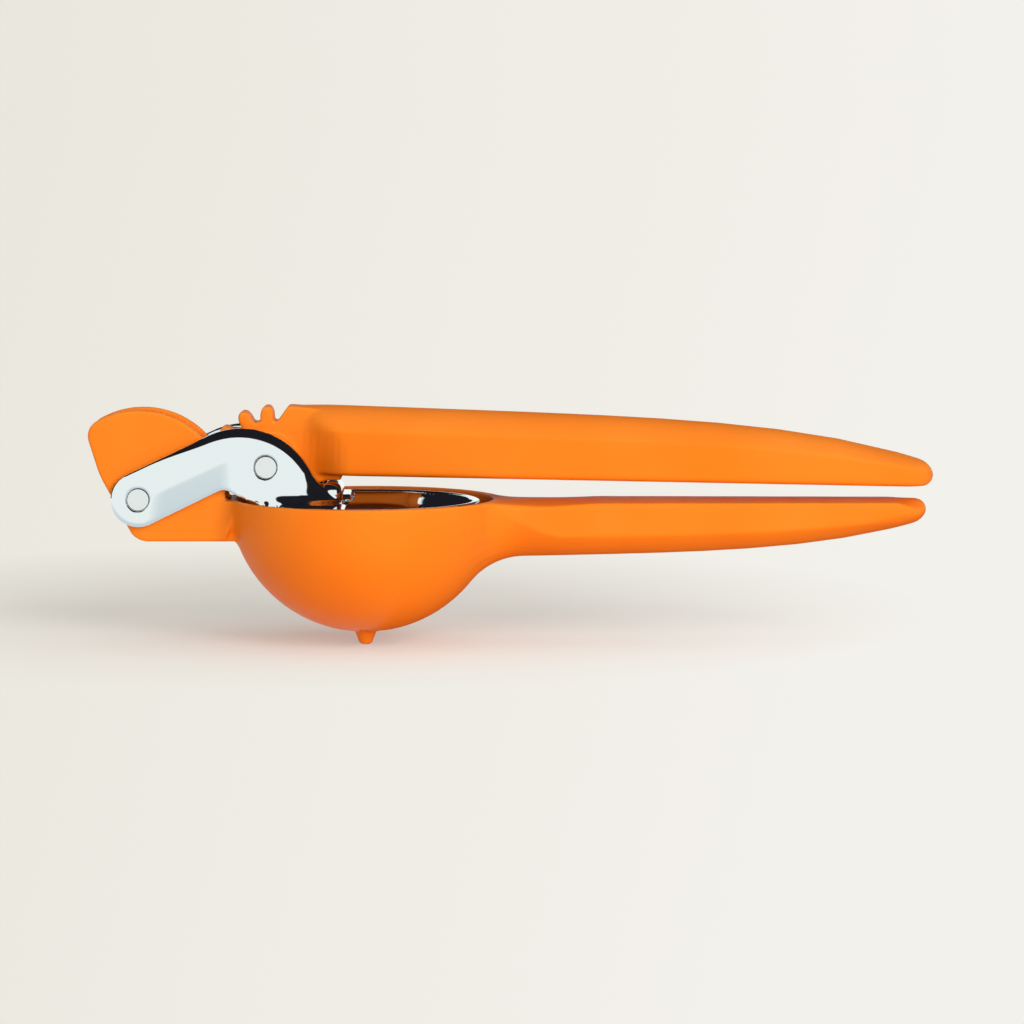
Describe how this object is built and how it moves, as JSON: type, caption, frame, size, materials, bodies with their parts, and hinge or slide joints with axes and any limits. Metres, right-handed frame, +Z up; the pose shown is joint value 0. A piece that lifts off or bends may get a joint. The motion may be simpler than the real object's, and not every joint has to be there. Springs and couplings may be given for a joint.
{
  "type": "hinged lemon squeezer",
  "caption": "Geared hand press for citrus halves: a bowl with drain slots on a long handle, a press cup on two side arms, and a toothed upper handle that swings it down.",
  "frame": {"origin": "the tip of the drip nub under the middle of the bowl", "axes": "+X from the bowl to the handles, +Z up along the bowl's axis, Y across; the squeezer is closed"},
  "size_m": [0.2524, 0.0816, 0.0722],
  "materials": {
    "orange_nylon": "fine matte nylon",
    "orange_handle": "fine matte nylon",
    "orange_teeth": "smooth nylon",
    "chrome_casting": "polished chrome plate",
    "pin_steel": "turned steel",
    "washer_plastic": "natural plastic"
  },
  "bodies": {
    "base": {"bowl_body": "orange_nylon", "sector_gear": "orange_teeth"},
    "press": {"press_yoke": "chrome_casting", "front_pivot_pin": "pin_steel", "front_pin_cap": "pin_steel", "rear_pivot_pin": "pin_steel", "rear_pin_cap": "pin_steel", "front_washer_left": "washer_plastic", "front_washer_right": "washer_plastic", "rear_washer_left": "washer_plastic", "rear_washer_right": "washer_plastic"},
    "handle": {"upper_handle": "orange_handle"}
  },
  "joints": [
    {"name": "press_pivot", "type": "hinge", "parent": "base", "child": "press", "pos_m": [-0.067, 0, 0.0448], "axis": [0, -1, 0], "range_deg": [0, 60]},
    {"name": "handle_pivot", "type": "hinge", "parent": "press", "child": "handle", "pos_m": [-0.029, 0, 0.05442], "axis": [0, -1, 0], "range_deg": [0, 90]}
  ],
  "couplings": [
    {"joint": "handle_pivot", "follows": "press_pivot", "ratio": 1.5}
  ]
}
